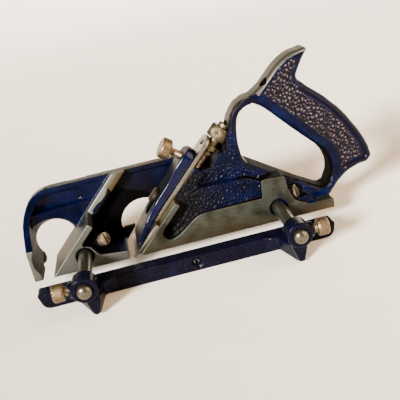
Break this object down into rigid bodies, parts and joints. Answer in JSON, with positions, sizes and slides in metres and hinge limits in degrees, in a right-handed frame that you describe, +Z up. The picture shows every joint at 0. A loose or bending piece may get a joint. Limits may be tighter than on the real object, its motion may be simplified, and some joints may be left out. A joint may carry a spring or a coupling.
{
  "type": "rebate plane",
  "caption": "Cast-iron rebate and fillister plane with a closed handle, two cutter seats, a screw-fed cutter, a sliding fence on two arms, a depth stop and a spur.",
  "frame": {"origin": "middle of the sole, on the sole's plane", "axes": "X from the toe to the heel, Y from the fence side to the flat side, Z up from the sole"},
  "size_m": [0.25, 0.1073, 0.1252],
  "materials": {
    "enamelled_casting": "gloss navy enamel with bare machined faces",
    "enamelled_cap": "gloss navy enamel with a bare front",
    "enamelled_fence": "gloss navy enamel with worn edges",
    "cutter_steel": "ground tool steel",
    "arm_steel": "turned steel, dulled",
    "aged_screw_steel": "browned steel",
    "nickel_brass": "knurled, worn nickel over brass",
    "bare_brass": "knurled brass, dulled"
  },
  "bodies": {
    "body": {"body": "enamelled_casting", "front_arm": "arm_steel", "rear_arm": "arm_steel", "feed_stud": "aged_screw_steel"},
    "fence": {"fence": "enamelled_fence"},
    "front_fence_thumbscrew": {"front_fence_thumbscrew": "nickel_brass"},
    "rear_fence_thumbscrew": {"rear_fence_thumbscrew": "nickel_brass"},
    "cutter": {"cutter": "cutter_steel"},
    "feed_nut": {"feed_nut": "bare_brass"},
    "lever_cap": {"lever_cap": "enamelled_cap"},
    "lever_cap_screw": {"lever_cap_screw": "aged_screw_steel"},
    "lever_cap_thumbscrew": {"lever_cap_thumbscrew": "nickel_brass"},
    "front_arm_screw": {"front_arm_screw": "aged_screw_steel"},
    "rear_arm_screw": {"rear_arm_screw": "aged_screw_steel"},
    "depth_stop": {"depth_stop": "arm_steel"},
    "depth_stop_thumbscrew": {"depth_stop_thumbscrew": "nickel_brass", "depth_stop_washer": "arm_steel"},
    "spur": {"spur": "cutter_steel"},
    "spur_screw": {"spur_screw": "aged_screw_steel"}
  },
  "joints": [
    {"name": "fence_slide", "type": "slide", "parent": "body", "child": "fence", "axis": [0, 1, 0], "range_m": [-0.004, 0.036]},
    {"name": "front_fence_thumbscrew_turn", "type": "hinge", "parent": "fence", "child": "front_fence_thumbscrew", "pos_m": [-0.0875, -0.0632, 0.0097], "axis": [-1, 0, 0], "range_deg": [0, 360]},
    {"name": "rear_fence_thumbscrew_turn", "type": "hinge", "parent": "fence", "child": "rear_fence_thumbscrew", "pos_m": [0.0845, -0.0632, 0.0097], "axis": [1, 0, 0], "range_deg": [0, 360]},
    {"name": "cutter_feed", "type": "slide", "parent": "body", "child": "cutter", "axis": [-0.7071, 0, -0.7071], "range_m": [-0.0015, 0.001]},
    {"name": "feed_nut_turn", "type": "hinge", "parent": "cutter", "child": "feed_nut", "pos_m": [0.03281, 0, 0.06067], "axis": [0.7071, 0, 0.7071], "range_deg": [-541, 361]},
    {"name": "lever_cap_slide", "type": "slide", "parent": "body", "child": "lever_cap", "axis": [0.7071, 0, 0.7071], "range_m": [0, 0.009]},
    {"name": "lever_cap_thumbscrew_turn", "type": "hinge", "parent": "lever_cap", "child": "lever_cap_thumbscrew", "pos_m": [0.01595, 0, 0.05349], "axis": [-0.7986, 0, 0.6018], "range_deg": [0, 360]},
    {"name": "lever_cap_screw_turn", "type": "hinge", "parent": "body", "child": "lever_cap_screw", "pos_m": [-0.01047, 0, 0.03041], "axis": [-0.7071, 0, 0.7071], "range_deg": [0, 360]},
    {"name": "front_arm_screw_turn", "type": "hinge", "parent": "body", "child": "front_arm_screw", "pos_m": [-0.07, 0.001, 0.0097], "axis": [0.7536, -0.5888, 0.2924], "range_deg": [0, 360]},
    {"name": "rear_arm_screw_turn", "type": "hinge", "parent": "body", "child": "rear_arm_screw", "pos_m": [0.0678, 0.001, 0.0097], "axis": [0.7536, -0.5888, 0.2924], "range_deg": [0, 360]},
    {"name": "depth_stop_slide", "type": "slide", "parent": "body", "child": "depth_stop", "axis": [0, 0, 1], "range_m": [-0.011, 0.008]},
    {"name": "depth_stop_thumbscrew_turn", "type": "hinge", "parent": "body", "child": "depth_stop_thumbscrew", "pos_m": [-0.0655, 0.025, 0.033], "axis": [0, 1, 0], "range_deg": [0, 360]},
    {"name": "spur_turn", "type": "hinge", "parent": "body", "child": "spur", "pos_m": [-0.049, 0.018, 0.0069], "axis": [0, 1, 0], "range_deg": [0, 60]},
    {"name": "spur_screw_turn", "type": "hinge", "parent": "body", "child": "spur_screw", "pos_m": [-0.049, 0.018, 0.0069], "axis": [0, 1, 0], "range_deg": [0, 360]}
  ],
  "couplings": [
    {"joint": "feed_nut_turn", "follows": "cutter_feed", "rad_per_m": 6283.2}
  ]
}
